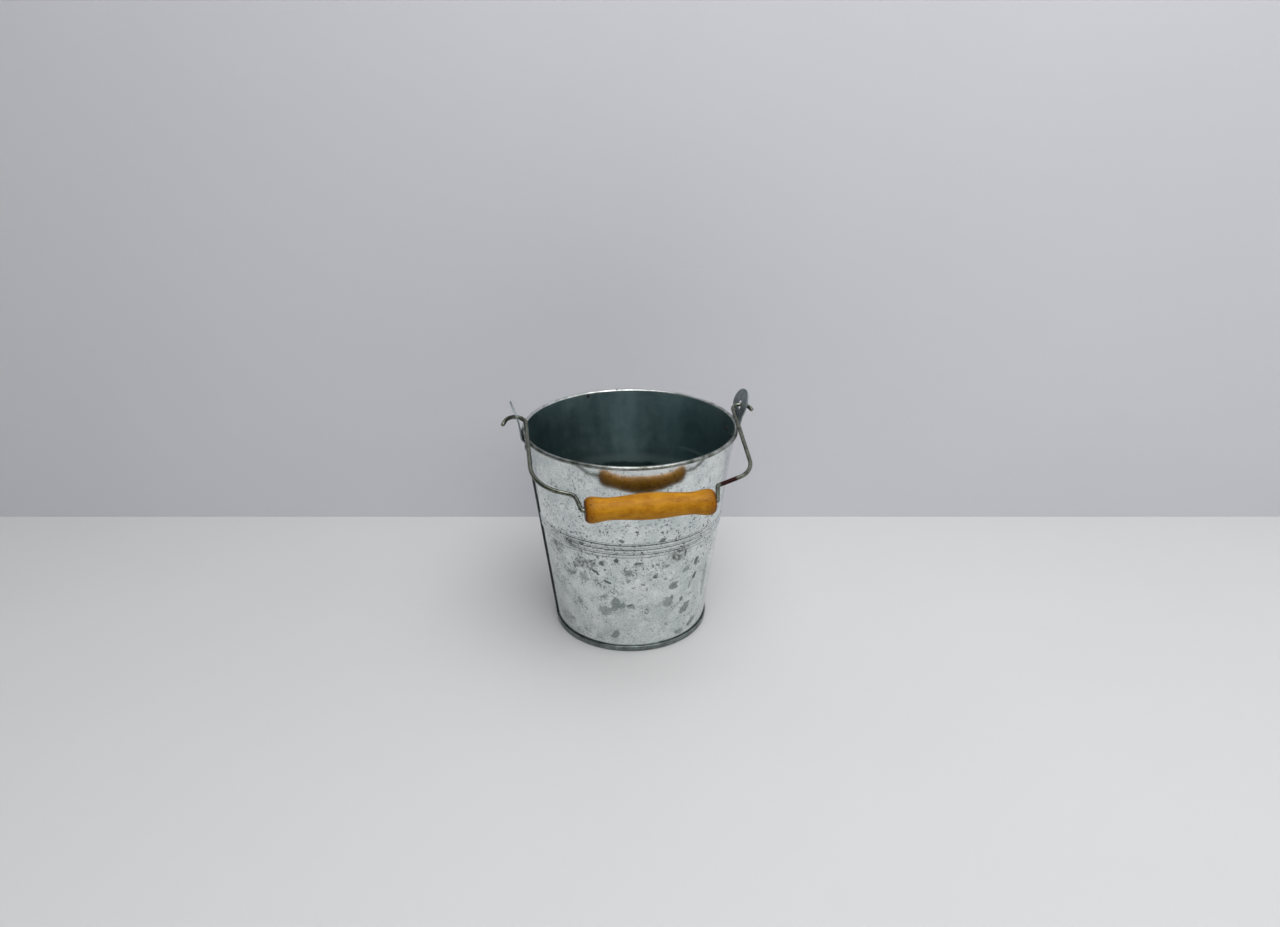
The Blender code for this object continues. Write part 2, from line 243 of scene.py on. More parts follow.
def makeCamera():
    data = bpy.data.cameras.new("camera")
    data.lens = cameraSettings["lens"]
    data.sensor_fit = "HORIZONTAL"
    data.sensor_width = cameraSettings["sensor"]
    data.clip_start = 0.01
    camera = newObject("camera", data)
    camera.location = cameraSettings["place"]
    camera.rotation_euler = (math.radians(90 - cameraSettings["down"]), 0, -heading)
    bpy.context.scene.camera = camera


makeCamera()
print("camera placed")


# Floor, backdrop and light

studio = {
    "floorColour": "#D2D3D3",
    "backdropColour": "#D3D3D8",
    "backdropBehind": 0.135,     # m from the bucket's axis to the backdrop
    "reach": 6.0,                # m of floor and backdrop
    "floorDrop": 0.2 * mm,       # so that the floor and the base don't share a face
    "aim": (0, 0, 0.06),         # m, where the lamps point
    "worldColour": "#E9EEF2",
    "worldStrength": 0.17,
    # name: place (m), size (m), power (W), colour
    "lamps": {
        "softboxFront": ((0.08, -0.9, 1.15), 1.2, 9.4, "#FFFFFF"),
        "softboxRight": ((0.95, -0.35, 0.55), 0.7, 1.5, "#FFFEFC"),
        "overhead": ((0.1, -0.35, 1.6), 1.2, 5.6, "#FFFFFF"),
        "overBack": ((0.1, -0.15, 0.85), 0.7, 2.0, "#FFFFFF"),
    },
}


def paperMaterial(name, hexCode):
    # Matt laminated board: pale, with the faintest cloudiness
    material, add, shader, place = newMaterial(name)
    pale = toLinear(hexCode)
    shade = [c * 0.96 for c in pale[:3]] + [1.0]
    cloud = add("TexNoise", {"Vector": place, "Scale": 1 / 160, "Detail": 2.0})
    colour = add("Mix", {"Factor": cloud, "A": shade, "B": pale}, **rgba)
    setInputs(shader, {"Base Color": colour, "Roughness": 0.62, "Specular IOR Level": 0.25})
    return material


def makeStage():
    deselectAll()
    bpy.ops.mesh.primitive_plane_add(size=studio["reach"], location=(0, 0, -studio["floorDrop"]))
    floor = bpy.context.object
    floor.name = "floor"
    floor.data.materials.append(paperMaterial("paleFloor", studio["floorColour"]))
    deselectAll()
    bpy.ops.mesh.primitive_plane_add(size=studio["reach"])
    backdrop = bpy.context.object
    backdrop.name = "backdrop"
    ahead = Vector((math.sin(heading), math.cos(heading), 0)) * studio["backdropBehind"]
    turn = Matrix.Rotation(-heading, 4, "Z") @ Matrix.Rotation(math.pi / 2, 4, "X")
    settle(backdrop, Matrix.Translation(ahead) @ turn)
    board = paperMaterial("paleBackdrop", studio["backdropColour"])
    backdrop.data.materials.append(board)
    # The board has a front only, and throws no shadow, so it never hides the bucket from behind
    tree = board.node_tree
    front = tree.nodes["Principled BSDF"]
    sides = addNode(tree, "NewGeometry")
    clear = addNode(tree, "BsdfTransparent")
    oneSided = addNode(tree, "MixShader", {0: (sides, "Backfacing"), 1: front, 2: clear})
    setInputs(tree.nodes["Material Output"], {"Surface": oneSided})
    backdrop.visible_shadow = False


def makeLights():
    world = bpy.data.worlds.new("studio")
    bpy.context.scene.world = world
    world.use_nodes = True
    sky = world.node_tree.nodes["Background"]
    setInputs(sky, {"Color": toLinear(studio["worldColour"]), "Strength": studio["worldStrength"]})
    for name, (place, size, power, hexCode) in studio["lamps"].items():
        data = bpy.data.lights.new(name, "AREA")
        data.shape = "SQUARE"
        data.size = size
        data.energy = power
        data.color = toLinear(hexCode)[:3]
        lamp = newObject(name, data)
        lamp.location = place
        beam = Vector(studio["aim"]) - Vector(place)
        lamp.rotation_euler = beam.to_track_quat("-Z", "Y").to_euler()
    bpy.context.scene.view_settings.view_transform = "Standard"


makeStage()
makeLights()
print("stage and lights made")


# Bucket wall: one sheet from the foot, over the beads and round the rim curl

wall = {
    "footRadius": 46.7 * mm,
    "sheet": 0.4 * mm,
    "standOff": 0.7 * mm,        # foot of the wall above the floor
    "curlRadius": 1.2 * mm,
    "curlEnd": -115,             # degrees, where the curl stops short of the wall
    "curlSteps": 24,
    "beadTop": 76.7 * mm,
    "beadPitch": 3.15 * mm,
    "beadRises": (0.4 * mm, 0.42 * mm, 0.45 * mm),   # bottom to top
    "beadSharpness": 1.7,        # 1 is a plain wave
    "beadSteps": 12,
    "rowsBelow": (12 * mm, 30 * mm, 50 * mm),        # plain rows of faces under and over the beads
    "rowsAbove": (95 * mm, 112 * mm),
    "turnSteps": 192,
}
curlCentre = Vector((rimRadius - wall["curlRadius"], rimHeight - wall["curlRadius"]))


def wallSlope():
    run = curlCentre.x - wall["footRadius"]
    reach = math.hypot(run, curlCentre.y)
    return math.acos((wall["curlRadius"] - wall["sheet"]) / reach) - math.atan2(curlCentre.y, run)


slope = wallSlope()


def wallRadius(z):
    return wall["footRadius"] + z * math.tan(slope)


def wallProfile():
    levels = [(z, 0) for z in (wall["standOff"], *wall["rowsBelow"])]
    count = len(wall["beadRises"])
    for i, rise in enumerate(wall["beadRises"]):
        crest = wall["beadTop"] - (count - 1 - i) * wall["beadPitch"]
        for j in range(wall["beadSteps"]):
            t = j / wall["beadSteps"]
            swell = (0.5 - 0.5 * math.cos(2 * math.pi * t)) ** wall["beadSharpness"]
            levels.append((crest + (t - 0.5) * wall["beadPitch"], rise * swell))
    levels += [(z, 0) for z in (wall["beadTop"] + wall["beadPitch"] / 2, *wall["rowsAbove"])]
    across = wall["sheet"] / math.cos(slope)
    outer = [(wallRadius(z) + rise, z) for z, rise in levels]
    inner = [(r - across, z) for r, z in outer]
    start, end = math.pi - slope, math.radians(wall["curlEnd"])
    curlOut = arc(curlCentre, wall["curlRadius"], start, end, wall["curlSteps"])
    curlIn = arc(curlCentre, wall["curlRadius"] - wall["sheet"], end, start, wall["curlSteps"])
    return inner + curlOut + curlIn + outer[::-1]


galvanised = {
    "pale": "#E9EDED",
    "cloud": "#CBD2D2",
    "grain": "#7F8A88",
    "squiggle": "#737C78",
    "flake": "#6B7671",
    "chip": "#4A534E",
    # Dark specks; the same colour paints shade along the lock seam's edges
    "speckAndCreviceShade": "#363D39",
    # Smudges of dirt; the same colour paints shade in the grooves of the beads
    "smudgeAndGrooveShade": "#3F493F",
    "grainSize": 0.8,      # mm, coarser than zinc grain so that it shows
    "flakeSize": 7.0,      # mm, spangle flakes on the sides and back
    "facetSize": 1.8,      # mm, crystal facets that break the edges of the flakes
    "speckSize": 1.7,      # mm, dark specks
    "seamEdge": 2.6,       # mm, middle of the lock seam to the painted shade along its edges
    "spread": 1.3,         # the bent edges eat into the marks, so they are drawn larger
    "depth": 9,            # mm, half the reach of a mark through the sheet
    # Marks on the front: turn (degrees), height, half width, half height (mm), tilt (degrees),
    # softness, strength
    "marks": [
        (-100.1, 57.9, 2.0, 2.0, 0, 0.15, 0.85), (-69.2, 44.9, 2.5, 2.4, 0, 0.25, 0.9),
        (-108.4, 35.2, 2.7, 3.3, 15, 0.25, 0.85), (-115.4, 29.2, 3.6, 2.8, 0, 0.35, 0.65),
        (-104.8, 34.2, 2.4, 1.6, -10, 0.3, 0.8), (-110.0, 31.6, 2.6, 1.9, 25, 0.3, 0.8),
        (-98.6, 33.8, 1.9, 1.5, 0, 0.3, 0.75), (-72.9, 33.7, 2.7, 3.2, 0, 0.4, 0.7),
        (-57.6, 25.4, 3.9, 2.6, 30, 0.3, 0.85), (-61.8, 32.1, 1.2, 1.0, 0, 0.3, 0.75),
        (-109.5, 12.3, 1.5, 2.9, -25, 0.25, 0.8), (-135.7, 31.4, 1.3, 2.3, 20, 0.3, 0.75),
        (-131.9, 27.5, 1.0, 0.8, 0, 0.3, 0.6), (-107.1, 66.3, 1.4, 1.5, 0, 0.25, 0.9),
        (-121.2, 57.0, 2.6, 0.8, -22, 0.3, 0.95), (-113.3, 50.5, 2.5, 0.7, -25, 0.3, 0.95),
        (-130.5, 51.2, 2.8, 2.6, 0, 0.6, 0.6), (-140.4, 51.2, 3.4, 1.5, 10, 0.4, 0.8),
        (-135.0, 58.4, 1.1, 1.9, 0, 0.3, 0.75), (-52.2, 46.5, 1.4, 2.3, -20, 0.3, 0.75),
        (-51.7, 56.7, 1.2, 2.6, -10, 0.3, 0.8), (-38.3, 36.7, 2.0, 11.0, 0, 0.6, 0.6),
        (-48.0, 11.0, 3.8, 1.8, 35, 0.4, 0.85), (-60.0, 7.8, 2.4, 1.7, 0, 0.5, 0.7),
        (-121.7, 8.4, 2.5, 1.9, 0, 0.5, 0.45), (-132.7, 10.1, 1.9, 0.8, -30, 0.3, 0.65),
        (-83.1, 54.2, 1.3, 0.8, 0, 0.3, 0.85), (-99.6, 52.3, 1.2, 0.7, 0, 0.3, 0.7),
        (-115.8, 64.0, 1.6, 1.6, 0, 0.4, 0.55), (-114.8, 59.3, 1.0, 0.6, 0, 0.3, 0.95),
        (-115.2, 40.0, 2.4, 1.3, 20, 0.5, 0.6), (-60.3, 53.8, 1.9, 1.4, 0, 0.5, 0.7),
        (-76.9, 60.8, 1.7, 1.4, 0, 0.5, 0.6), (-93.5, 63.8, 2.4, 1.2, 15, 0.5, 0.6),
    ],
    # Small dark chips, all round, given in the same way
    "chips": [
        (-52.3, 57.3, 1.1, 1.9, -15, 0.3, 0.9), (-51.9, 46.3, 1.0, 1.8, -20, 0.3, 0.85),
        (-107.3, 66.3, 1.1, 1.2, 0, 0.3, 0.9), (-82.5, 53.8, 1.2, 0.6, 0, 0.3, 0.85),
        (-121.0, 56.6, 1.8, 0.6, -22, 0.3, 0.95), (-113.0, 50.6, 2.0, 0.5, -25, 0.3, 0.95),
        (-62.1, 33.1, 0.8, 0.9, 0, 0.3, 0.8), (-94.7, 86.6, 0.9, 0.6, 10, 0.3, 0.95),
        (-79.3, 79.6, 1.9, 0.9, 25, 0.3, 0.9), (-103.3, 80.2, 1.2, 0.9, 0, 0.3, 0.85),
        (-129.0, 75.2, 1.5, 0.9, -10, 0.3, 0.9), (-137.3, 73.3, 1.3, 1.1, 15, 0.3, 0.8),
        (-151.9, 67.0, 1.4, 1.6, 0, 0.3, 0.8), (-99.0, 34.6, 1.4, 0.5, 20, 0.3, 0.8),
        (-116.4, 63.5, 1.3, 1.0, 30, 0.3, 0.85), (-69.8, 37.0, 0.8, 1.1, 20, 0.3, 0.6),
        (-94.8, 64.6, 1.2, 0.6, 25, 0.3, 0.75), (-84.7, 62.2, 0.6, 1.0, 20, 0.3, 0.75),
        (-81.5, 62.6, 1.1, 0.6, -30, 0.3, 0.7), (-75.5, 51.2, 0.9, 0.6, 20, 0.3, 0.6),
        (-90.6, 49.2, 1.3, 0.5, -20, 0.3, 0.6), (-96.4, 47.4, 1.2, 0.5, 30, 0.3, 0.6),
        (-55.8, 40.6, 0.6, 1.8, -15, 0.3, 0.65), (-88.0, 45.5, 0.5, 1.0, 10, 0.3, 0.55),
        (48.0, 58.0, 1.4, 0.9, 20, 0.3, 0.9), (82.0, 81.0, 1.3, 0.9, 0, 0.3, 0.9),
        (112.0, 52.0, 1.9, 0.6, -20, 0.3, 0.9), (160.0, 78.0, 1.2, 1.0, 0, 0.3, 0.85),
    ],
    # Soft smudges of dirt round the beads, given in the same way
    "smudges": [
        (-66.9, 66.9, 5.2, 4.4, 0, 0.9, 0.9), (-128.7, 61.4, 6.5, 3.4, 0, 0.9, 0.8),
        (-150.7, 65.9, 5.0, 3.6, 0, 0.9, 0.7), (-137.0, 74.0, 5.0, 2.6, 0, 0.9, 0.55),
        (-151.3, 13.6, 5.5, 3.4, 0, 0.9, 0.4), (20.0, 64.0, 7.0, 4.0, 0, 0.9, 0.8),
        (95.0, 62.0, 6.0, 4.5, 0, 0.9, 0.8), (140.0, 67.0, 8.0, 3.5, 0, 0.9, 0.7),
    ],
}


def galvanisedMaterial():
    # Hot-dip galvanised sheet: mirror-satin zinc with fine grain, dark specks high up,
    # grey spangle flakes low down, painted shade in the bead grooves and along the lock seam
    material, add, shader, place = newMaterial("galvanisedSteel")
    axes = add("SeparateXYZ", {"Vector": place})
    wobble = add("TexNoise", {"Vector": place, "Scale": 1 / 1.9, "Detail": 3.0, "Roughness": 0.6})
    centred = add("VectorMath", {0: (wobble, "Color"), 1: (0.5, 0.5, 0.5)}, "SUBTRACT")
    wavy = add("VectorMath", {0: centred, 1: (1.9, 1.9, 1.9), 2: place}, "MULTIPLY_ADD")
    facet = add("TexVoronoi", {"Vector": wavy, "Scale": 1 / galvanised["facetSize"]})
    shift = add("VectorMath", {0: (facet, "Color"), 1: (0.5, 0.5, 0.5)}, "SUBTRACT")
    bent = add("VectorMath", {0: shift, 1: (1.7, 1.7, 1.7), 2: wavy}, "MULTIPLY_ADD")

    def heightBand(low, lowFull, highFull, high, least=0.0):
        # 1 between lowFull and highFull millimetres up the wall, least outside
        rise = add("MapRange", {"Value": (axes, "Z"), "From": (low, lowFull), "To Min": least}, **smooth)
        return add("MapRange", {"Value": (axes, "Z"), "From": (highFull, high), "To": (rise, least)},
                   **smooth)

    def handMarks(marks, edge, mask=None):
        # Blots at given places, with the edge of the bent coordinates, laid over the mask
        for turn, height, wide, tall, tilt, soft, strength in marks:
            angle, radius = math.radians(turn), wallRadius(height * mm) / mm
            centre = (radius * math.cos(angle), radius * math.sin(angle), height)
            size = (galvanised["depth"], wide * galvanised["spread"], tall * galvanised["spread"])
            local = add("Mapping", {"Vector": edge, "Location": centre, "Scale": size,
                                    "Rotation": (math.radians(tilt), 0, angle)}, vector_type="TEXTURE")
            reach = add("VectorMath", {0: local}, "LENGTH")
            blot = add("MapRange", {"Value": (reach, "Value"), "To": (strength, 0.0),
                                    "From": (1 - soft / 2, 1 + soft / 4)}, **smooth)
            mask = add("Math", {0: blot, 1: mask}, "MAXIMUM") if mask else blot
        return mask

    # Cloudy zinc and its grain
    cloud = add("TexNoise", {"Vector": place, "Scale": 1 / 13, "Detail": 5.0, "Roughness": 0.65})
    crystal = add("TexVoronoi", {"Vector": wavy, "Scale": 1 / 4.5})
    tone = add("SeparateColor", {"Color": (crystal, "Color")})
    spangled = add("Math", {0: tone, 1: 0.22, 2: cloud}, "MULTIPLY_ADD")
    cloudy = add("MapRange", {"Value": spangled, "From": (0.4, 0.76)})
    colour = add("Mix", {"Factor": cloudy, "A": toLinear(galvanised["cloud"]),
                         "B": toLinear(galvanised["pale"])}, **rgba)
    grain = add("TexNoise", {"Vector": place, "Scale": 1 / galvanised["grainSize"], "Detail": 3.0,
                             "Roughness": 0.7})
    grainMask = add("MapRange", {"Value": grain, "From": (0.46, 0.72), "To Max": 0.6})

    # Thin curled lines at the edges of the spangle
    contour = add("TexNoise", {"Vector": bent, "Scale": 1 / 3.2, "Detail": 2.0, "Distortion": 1.2})
    offLine = add("Math", {0: contour, 1: 0.5}, "SUBTRACT")
    offLine = add("Math", {0: offLine}, "ABSOLUTE")
    patches = add("TexNoise", {"Vector": place, "Scale": 1 / 9, "Detail": 2.0})
    patchy = add("MapRange", {"Value": patches, "From": (0.46, 0.6), "To Max": heightBand(14, 34, 66, 84)})
    squiggles = add("MapRange", {"Value": offLine, "From": (0.008, 0.03), "To": (patchy, 0.0)})

    # Large flakes on the sides and back, placed marks on the front
    cell = add("TexVoronoi", {"Vector": bent, "Scale": 1 / galvanised["flakeSize"]})
    pick = add("SeparateColor", {"Color": (cell, "Color")})
    behind = add("MapRange", {"Value": (axes, "Y"), "From": (-24, -8),
                              "To Max": heightBand(-2, -1, 56, 74)})
    chosen = add("MapRange", {"Value": pick, "From": (0.16, 0.17), "To": (behind, 0.0)})
    flakes = add("MapRange", {"Value": (cell, "Distance"), "From": (0.25, 0.42), "To": (chosen, 0.0)},
                 **smooth)
    flakes = handMarks(galvanised["marks"], bent, flakes)
    inner = add("MapRange", {"Value": facet, "To": (1.0, 0.8)})
    flakes = add("Math", {0: flakes, 1: inner}, "MULTIPLY")

    # Dark specks, thickest just above the beads
    dots = add("TexNoise", {"Vector": place, "Scale": 1 / galvanised["speckSize"], "Detail": 2.0,
                            "Roughness": 0.55, "Distortion": 0.6})
    crowd = add("MapRange", {"Value": patches, "From": (0.38, 0.62), "To Min": 0.35})
    upper = add("Math", {0: crowd, 1: heightBand(38, 64, 96, 126, 0.45)}, "MULTIPLY")
    specks = add("MapRange", {"Value": dots, "From": (0.585, 0.615), "To": (0.0, upper)})

    # Painted shade in the grooves of the beads, and smudges of dirt round them
    top, pitch = wall["beadTop"] / mm, wall["beadPitch"] / mm
    steps = add("MapRange", {"Value": (axes, "Z"), "From": (top - 1.5 * pitch, top - 0.5 * pitch)},
                clamp=False)
    groove = add("Math", {0: steps, 1: 0.5}, "PINGPONG")
    grooveShade = add("MapRange", {"Value": groove, "From": (0.03, 0.12),
                               "To": (heightBand(67.6, 68.2, 78.4, 79.2), 0.0)})
    broken = add("MapRange", {"Value": cloud, "From": (0.3, 0.6), "To Min": 0.3})
    grooveShade = add("Math", {0: grooveShade, 1: broken}, "MULTIPLY")
    # Painted shade along the folded edges of the lock seam, on the left
    offEdge = add("Math", {0: (axes, "Y")}, "ABSOLUTE")
    offEdge = add("Math", {0: offEdge, 1: galvanised["seamEdge"]}, "SUBTRACT")
    offEdge = add("Math", {0: offEdge}, "ABSOLUTE")
    onLeft = add("MapRange", {"Value": (axes, "X"), "From": (-42.0, -40.0), "To": (broken, 0.0)})
    seamCreviceShade = add("MapRange", {"Value": offEdge, "From": (0.2, 0.65), "To": (onLeft, 0.0)})
    ragged = add("MapRange", {"Value": wobble, "From": (0.38, 0.58), "To Min": 0.3})
    smudges = add("Math", {0: handMarks(galvanised["smudges"], bent), 1: ragged}, "MULTIPLY")
    chips = handMarks(galvanised["chips"], wavy)
    layers = [(grainMask, "grain", 1.0), (squiggles, "squiggle", 0.95), (flakes, "flake", 0.9),
              (smudges, "smudgeAndGrooveShade", 0.95), (grooveShade, "smudgeAndGrooveShade", 0.7), (seamCreviceShade, "speckAndCreviceShade", 0.9),
              (specks, "speckAndCreviceShade", 0.9), (chips, "chip", 0.85)]
    for mask, name, strength in layers:
        factor = add("Math", {0: mask, 1: strength}, "MULTIPLY")
        colour = add("Mix", {"Factor": factor, "A": colour, "B": toLinear(galvanised[name])}, **rgba)

    dull = add("Math", {0: flakes, 1: smudges}, "MAXIMUM")
    rough = add("Math", {0: dull, 1: 0.18, 2: 0.13}, "MULTIPLY_ADD")
    rough = add("Math", {0: grain, 1: 0.09, 2: rough}, "MULTIPLY_ADD")
    # The sheet bows in by a hair under the rim and is a little flat at the front,
    # which shapes the mirrored grip
    nearRim = add("MapRange", {"Value": (axes, "Z"), "From": (113.0, 130.0), "To Max": 1.35})
    bowed = add("Math", {0: nearRim, 1: 2.0}, "POWER")
    sideways = add("Math", {0: (axes, "X")}, "ABSOLUTE")
    flat = add("MapRange", {"Value": sideways, "From Max": 46.0, "To": (1.0, 0.0)}, **smooth)
    arched = add("Math", {0: flat, 1: 0.75, 2: 0.25}, "MULTIPLY_ADD")
    sunk = add("Math", {0: bowed, 1: arched, 2: flat}, "MULTIPLY_ADD")
    bow = add("Bump", {"Strength": 1.0, "Distance": 1.4 * mm, "Height": sunk}, invert=True)
    ripple = add("TexNoise", {"Vector": place, "Scale": 1 / 5.5, "Detail": 3.0, "Roughness": 0.55})
    wave = add("Bump", {"Strength": 0.10, "Distance": 0.6 * mm, "Height": ripple, "Normal": bow})
    fine = add("Bump", {"Strength": 0.16, "Distance": 0.12 * mm, "Height": grain, "Normal": wave})
    setInputs(shader, {"Base Color": colour, "Metallic": 1.0, "Roughness": rough, "Normal": fine})
    return material


inside = {
    "dark": "#73898C",
    "light": "#B9CACA",
    "paintedShade": "#6B8589",      # painted shade, towards the sides and the rim
    "wet": "#657677",          # below the water line
    "lime": "#D2DEDC",         # pale line left by the water
    "waterLine": 81.0,         # mm
    "waver": 2.5,              # mm, unevenness of the water line
    "oldLine": 94.6,           # mm, a fainter one, left on the right only
    "reach": 60.0,             # mm, from the middle to the outermost painted bands
    # Upright bands of painted reflection, darker towards the sides: place across the bucket (mm), lightness
    "paintedLightBands": [(-60, 0.15), (-40, 0.2), (-22, 0.5), (-8, 0.4), (4, 0.8), (10, 0.95), (16, 0.5), (25, 0.45),
              (32, 0.75), (37, 0.75), (43, 0.5), (60, 0.45)],
}


def insideZincMaterial():
    # Inside of the zinc coat: smooth but dulled, soft upright bands of painted reflection, a water line;
    # painted shade towards the sides and the rim; blue-green by reflection
    material, add, shader, place = newMaterial("dulledZincInside")
    axes = add("SeparateXYZ", {"Vector": place})
    cloud = add("TexNoise", {"Vector": place, "Scale": 1 / 9, "Detail": 4.0, "Roughness": 0.65})
    upright = add("Mapping", {"Vector": place, "Scale": (1.0, 1.0, 0.06)})
    streak = add("TexNoise", {"Vector": upright, "Scale": 1 / 6, "Detail": 3.0})
    reach = inside["reach"]
    # Painted reflection: lighter upright bands where the wall mirrors the opening, darker at the sides
    across = add("MapRange", {"Value": (axes, "X"), "From": (-reach, reach)})
    paintedBands = add("ValToRGB", {"Fac": across})
    ramp = paintedBands.color_ramp
    ramp.interpolation = "EASE"
    for x, light in inside["paintedLightBands"]:
        ramp.elements.new(0.5 + x / (2 * reach)).color = (light, light, light, 1.0)
    for spare in (ramp.elements[-1], ramp.elements[0]):
        ramp.elements.remove(spare)
    mottle = add("Math", {0: cloud, 1: 2.4, 2: streak}, "MULTIPLY_ADD")
    shade = add("Math", {0: mottle, 1: 0.74, 2: paintedBands}, "MULTIPLY_ADD")
    shaded = add("MapRange", {"Value": shade, "From": (1.05, 2.2)})
    colour = add("Mix", {"Factor": shaded, "A": toLinear(inside["dark"]), "B": toLinear(inside["light"])},
                 **rgba)
    # Painted shade: darker towards the sides, and up towards the rim
    sideways = add("Math", {0: (axes, "X")}, "ABSOLUTE")
    sides = add("MapRange", {"Value": sideways, "From": (22.0, 56.0), "To Max": 0.75}, **smooth)
    paintedShade = add("MapRange", {"Value": (axes, "Z"), "From": (92.0, 126.0), "To": (sides, 0.55)})
    uneven = add("Math", {0: cloud, 1: inside["waver"], 2: (axes, "Z")}, "MULTIPLY_ADD")
    line = inside["waterLine"] + inside["waver"] / 2
    risen = add("MapRange", {"Value": uneven, "From": (line, line + 1.0), "To Max": 0.8})
    lime = add("MapRange", {"Value": uneven, "From": (line + 2.5, line + 8.0), "To": (risen, 0.0)},
               **smooth)
    wet = add("MapRange", {"Value": uneven, "From": (line - 1.0, line), "To": (0.85, 0.0)})
    offLine = add("Math", {0: (axes, "Z"), 1: inside["oldLine"]}, "SUBTRACT")
    offLine = add("Math", {0: offLine}, "ABSOLUTE")
    onRight = add("MapRange", {"Value": (axes, "X"), "From": (34.0, 42.0), "To Max": 0.4})
    oldLine = add("MapRange", {"Value": offLine, "From": (0.4, 1.8), "To": (onRight, 0.0)}, **smooth)
    for mask, name in ((paintedShade, "paintedShade"), (lime, "lime"), (oldLine, "lime"), (wet, "wet")):
        colour = add("Mix", {"Factor": mask, "A": colour, "B": toLinear(inside[name])}, **rgba)
    rough = add("MapRange", {"Value": mottle, "From Max": 3.4, "To": (0.25, 0.37)})
    bump = add("Bump", {"Strength": 0.04, "Distance": 0.6 * mm, "Height": cloud})
    setInputs(shader, {"Base Color": colour, "Metallic": 1.0, "Roughness": rough, "Normal": bump})
    return material


rim = {
    "dark": "#565B53",                  # rubbed by hands, and painted shade at the front
    "light": "#E3E8E6",                 # worn bright, and painted highlight at the back
    "nick": "#2B302E",
    "nickPlace": (0.7, 63.4, 130.0),    # mm
}


def rimZincMaterial():
    # Rolled rim: zinc rubbed olive grey by handling, brighter along worn stretches; painted highlight at
    # the back
    material, add, shader, place = newMaterial("rubbedZincRim")
    axes = add("SeparateXYZ", {"Vector": place})
    cloud = add("TexNoise", {"Vector": place, "Scale": 1 / 6, "Detail": 4.0, "Roughness": 0.6})
    # Painted highlight and shade: lighter towards the back, darker at the front
    paintedBackHighlight = add("MapRange", {"Value": (axes, "Y"), "From": (-20.0, 45.0), "To": (0.0, 0.32)}, **smooth)
    wearAndBackHighlight = add("Math", {0: cloud, 1: paintedBackHighlight}, "ADD")
    wearAndHighlight = add("MapRange", {"Value": wearAndBackHighlight, "From": (0.35, 1.0)})
    nick = add("VectorMath", {0: place, 1: rim["nickPlace"]}, "DISTANCE")
    nicked = add("MapRange", {"Value": (nick, "Value"), "From": (0.5, 1.3), "To": (0.85, 0.0)})
    colour = add("Mix", {"Factor": wearAndHighlight, "A": toLinear(rim["dark"]), "B": toLinear(rim["light"])}, **rgba)
    colour = add("Mix", {"Factor": nicked, "A": colour, "B": toLinear(rim["nick"])}, **rgba)
    rough = add("MapRange", {"Value": cloud, "To": (0.4, 0.26)})
    bump = add("Bump", {"Strength": 0.1, "Distance": 0.3 * mm, "Height": cloud})
    setInputs(shader, {"Base Color": colour, "Metallic": 1.0, "Roughness": rough, "Normal": bump})
    return material


galvanisedSteel = galvanisedMaterial()
insideZinc = insideZincMaterial()
rimZinc = rimZincMaterial()


def makeWall():
    piece = turnedPiece("bucketWall", wallProfile(), wall["turnSteps"])
    dress(piece, "bucket", "galvanised_sheet", [galvanisedSteel, insideZinc, rimZinc], "body_wall")
    curlFoot = rimHeight - 2 * wall["curlRadius"]
    for face in piece.data.polygons:
        x, y, z = face.center
        inward = face.normal.x * x + face.normal.y * y < 0
        onCurl = z > curlFoot and math.hypot(x, y) > wallRadius(z)
        atTop = z > curlCentre.y
        face.material_index = 2 if onCurl or atTop else 1 if inward else 0


makeWall()
print("wall made")


# Lock seam folded flat against the wall, down the left side

seam = {
    "width": 5.0 * mm,
    "rise": 1.2 * mm,
    "round": 0.35 * mm,
    "sunk": 0.25 * mm,            # foot of the strip inside the wall's sheet
    "lift": 0.08 * mm,            # foot of the strip outside the plain wall, at the beads
    "bottom": 3.8 * mm,
    "top": 108.5 * mm,
    "lengths": 30,
    "dark": "#141616",            # grime in the fold, and painted shade on the seam's flanks
    "light": "#33393A",
}


def grimeAndShadeMaterial():
    # Dirt and flux in the fold's crevice, and painted shade on the seam's flanks: almost black, dull
    material, add, shader, place = newMaterial("grimeAndShade")
    patch = add("TexNoise", {"Vector": place, "Scale": 1 / 3, "Detail": 3.0})
    colour = add("Mix", {"Factor": patch, "A": toLinear(seam["dark"]), "B": toLinear(seam["light"])},
                 **rgba)
    setInputs(shader, {"Base Color": colour, "Roughness": 0.7})
    return material


grimeAndShade = grimeAndShadeMaterial()


